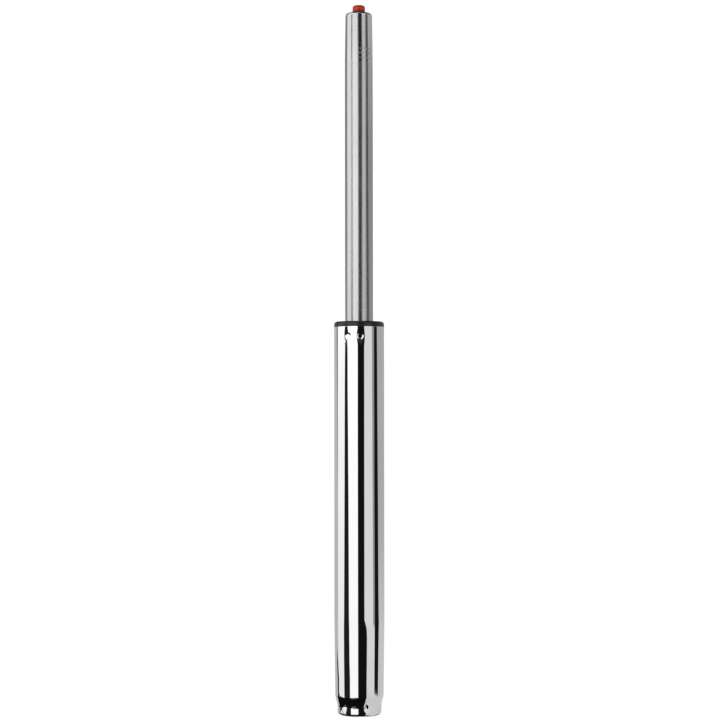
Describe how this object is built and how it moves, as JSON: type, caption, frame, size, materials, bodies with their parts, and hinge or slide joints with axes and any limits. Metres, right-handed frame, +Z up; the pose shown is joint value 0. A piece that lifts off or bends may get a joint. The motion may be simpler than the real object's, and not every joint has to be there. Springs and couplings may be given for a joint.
{
  "type": "gas lift column",
  "caption": "Height-adjustable gas lift column: a chromed outer column with a sliding, swivelling gas spring and a push-button valve on top.",
  "frame": {"origin": "centre of the column's bottom rim, on the common axis", "axes": "+Z up the common axis towards the seat; -Y faces the viewer; +X to the viewer's right"},
  "size_m": [0.05, 0.05, 0.71],
  "materials": {
    "polished_chrome": "mirror-polished chrome plating on steel",
    "black_bush": "moulded black acetal, fine satin",
    "zinc_steel": "pressed steel, bright zinc",
    "hard_steel": "hardened and ground bearing steel",
    "brass_cage": "stamped brass sheet",
    "ground_rod": "hard-chromed and ground rod",
    "black_rubber": "nitrile rubber",
    "aluminium_turned": "fine turned aluminium",
    "white_slide_ring": "filled slide-ring plastic",
    "ground_tube": "finely ground bright steel",
    "drawn_tube": "cold-drawn steel, honed bore",
    "bronze_bush": "rolled bronze",
    "red_button": "orange-red plastic, satin gloss"
  },
  "bodies": {
    "column": {"outer_tube": "polished_chrome", "guide_bush": "black_bush", "base_cup": "zinc_steel", "bearing_lower_race": "hard_steel"},
    "bearing": {"bearing_cage": "brass_cage", "bearing_balls": "hard_steel"},
    "rod": {"bearing_upper_race": "hard_steel", "piston_rod": "ground_rod", "bumper": "black_rubber", "retaining_washer": "zinc_steel", "retaining_clip": "zinc_steel", "piston": "aluminium_turned", "piston_seal": "black_rubber", "piston_guide_ring": "white_slide_ring", "piston_washer": "zinc_steel"},
    "gas_spring": {"pressure_tube": "ground_tube", "inner_cylinder": "drawn_tube", "rod_guide": "aluminium_turned", "rod_guide_bush": "bronze_bush", "rod_seal": "black_rubber", "seal_backing_washer": "zinc_steel", "centring_ring": "black_bush", "valve_housing": "aluminium_turned", "housing_seals": "black_rubber", "stem_seals": "black_rubber", "top_plug": "zinc_steel"},
    "release": {"valve_stem": "hard_steel", "release_button": "red_button"}
  },
  "joints": [
    {"name": "seat_swivel", "type": "hinge", "parent": "column", "child": "rod", "pos_m": [0, 0, 0.0135], "axis": [0, 0, 1], "continuous": true},
    {"name": "bearing_roll", "type": "hinge", "parent": "column", "child": "bearing", "pos_m": [0, 0, 0.0135], "axis": [0, 0, 1], "continuous": true},
    {"name": "height_slide", "type": "slide", "parent": "rod", "child": "gas_spring", "axis": [0, 0, 1], "range_m": [-0.26, 0]},
    {"name": "release_press", "type": "slide", "parent": "gas_spring", "child": "release", "axis": [0, 0, -1], "range_m": [0, 0.004], "stiffness_N_per_m": 2500}
  ],
  "couplings": [
    {"joint": "bearing_roll", "follows": "seat_swivel", "ratio": 0.5}
  ]
}
